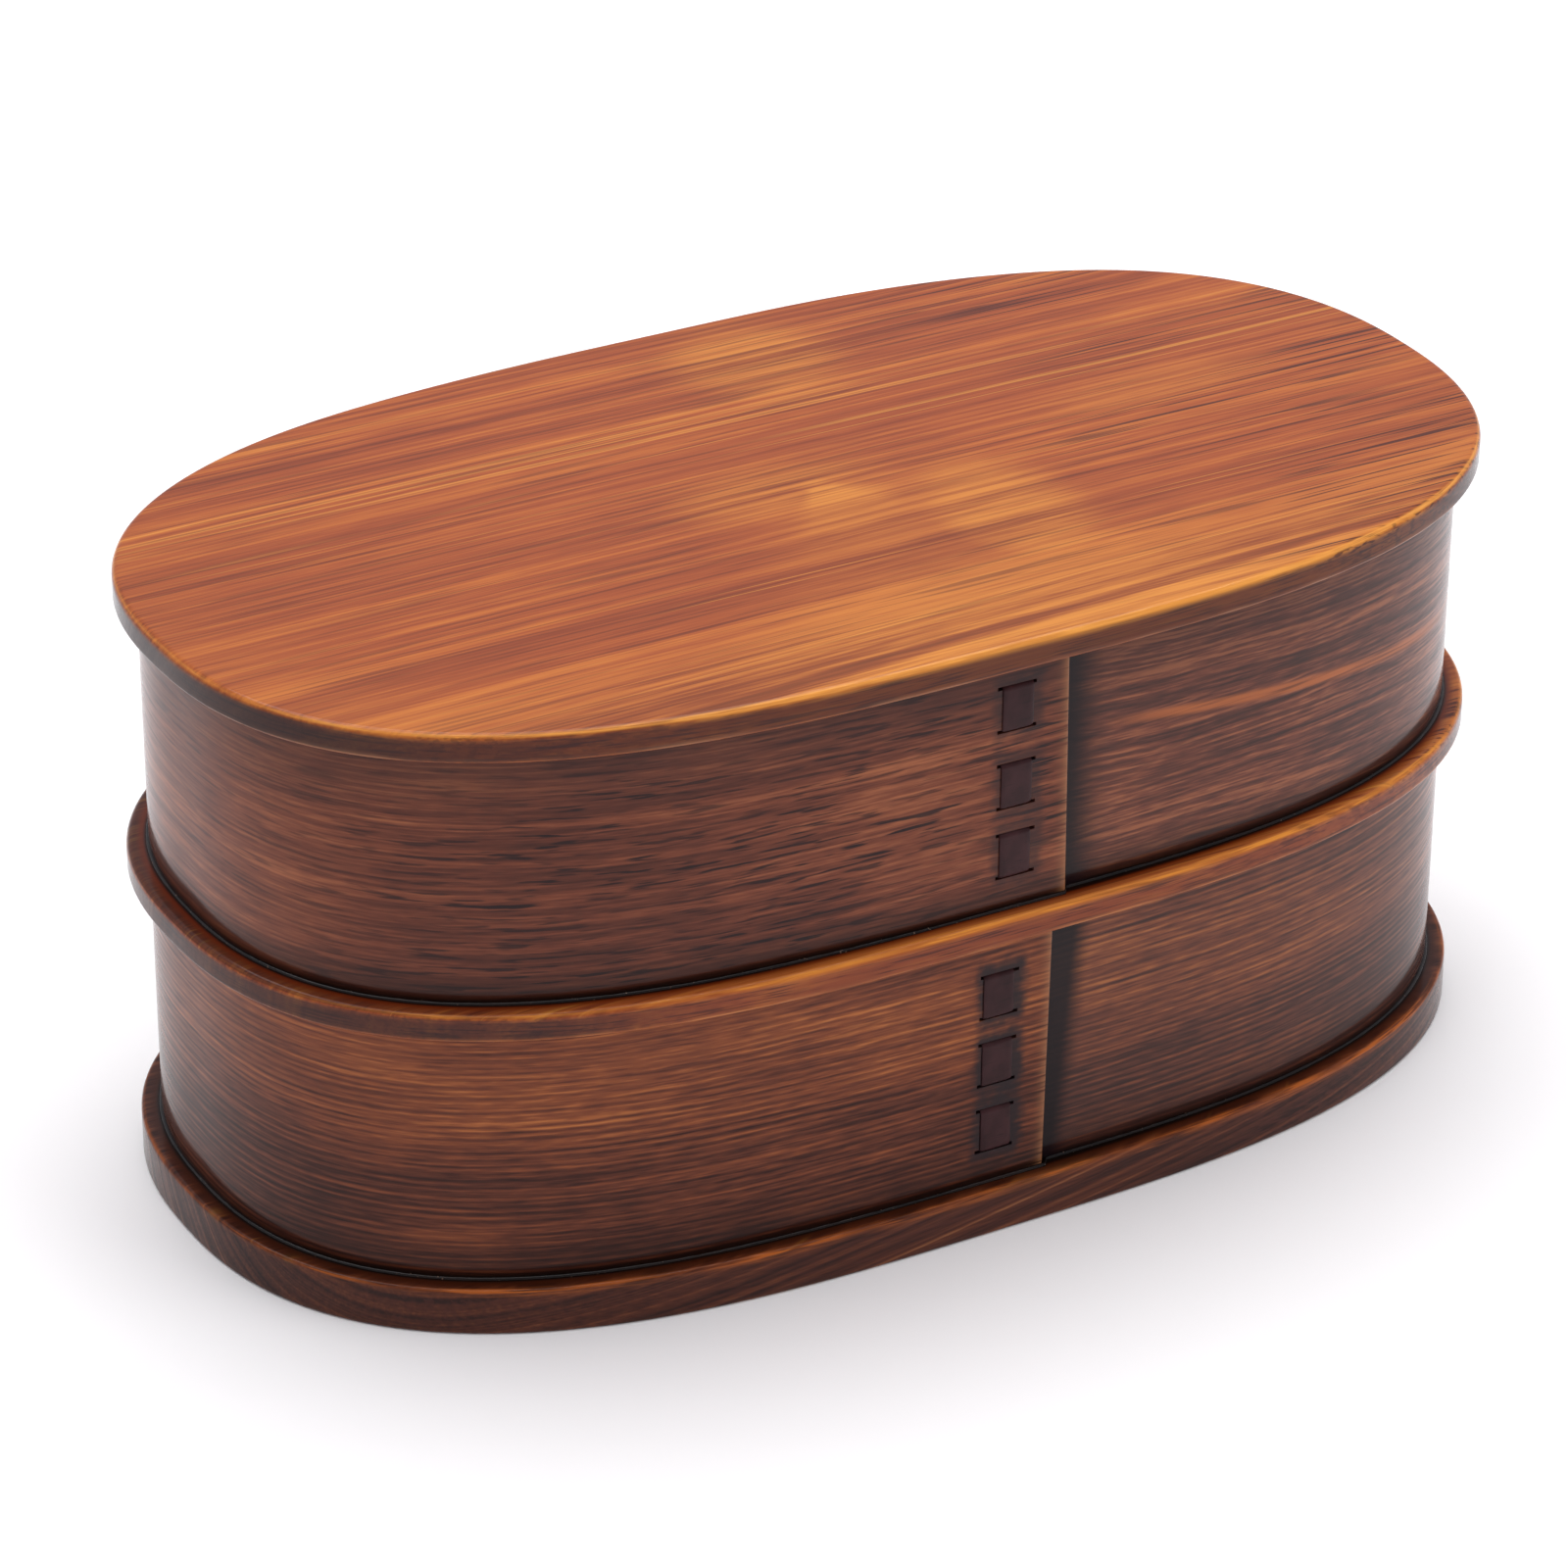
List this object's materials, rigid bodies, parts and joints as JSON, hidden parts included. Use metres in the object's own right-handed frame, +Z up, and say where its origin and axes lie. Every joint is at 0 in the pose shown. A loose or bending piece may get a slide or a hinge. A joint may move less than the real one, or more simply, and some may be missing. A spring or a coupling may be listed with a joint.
{
  "type": "bento box",
  "caption": "Two-tier oval bento box of bent, stained wood strips laced with bark, with overhanging boards and a lift-off plate lid.",
  "frame": {"origin": "centre of the box's length and width, on the underside of the lower board", "axes": "+X along the box's length, -Y towards the side with the laced lap joints, +Z up through the lid"},
  "size_m": [0.2, 0.112, 0.0914],
  "materials": {
    "stained_board": "flat-sawn cedar, orange-brown stain under satin lacquer",
    "stained_strip": "bent cedar strip, dark brown stain under satin lacquer",
    "cherry_bark": "smooth dark cherry bark",
    "lacquer_putty": "glossy black-brown lacquer putty"
  },
  "bodies": {
    "lower_tier": {"lower_board": "stained_board", "lower_hoop": "stained_strip", "lower_lacing": "cherry_bark", "lower_seam": "lacquer_putty"},
    "upper_tier": {"upper_board": "stained_board", "upper_rim": "stained_strip", "upper_hoop": "stained_strip", "upper_lacing": "cherry_bark", "upper_seam": "lacquer_putty"},
    "lid": {"lid_board": "stained_board", "lid_rim": "stained_strip"}
  },
  "joints": [
    {"name": "upper_tier_lift", "type": "slide", "parent": "lower_tier", "child": "upper_tier", "axis": [0, 0, 1], "range_m": [0, 0.07]},
    {"name": "lid_lift", "type": "slide", "parent": "upper_tier", "child": "lid", "axis": [0, 0, 1], "range_m": [0, 0.08]}
  ]
}
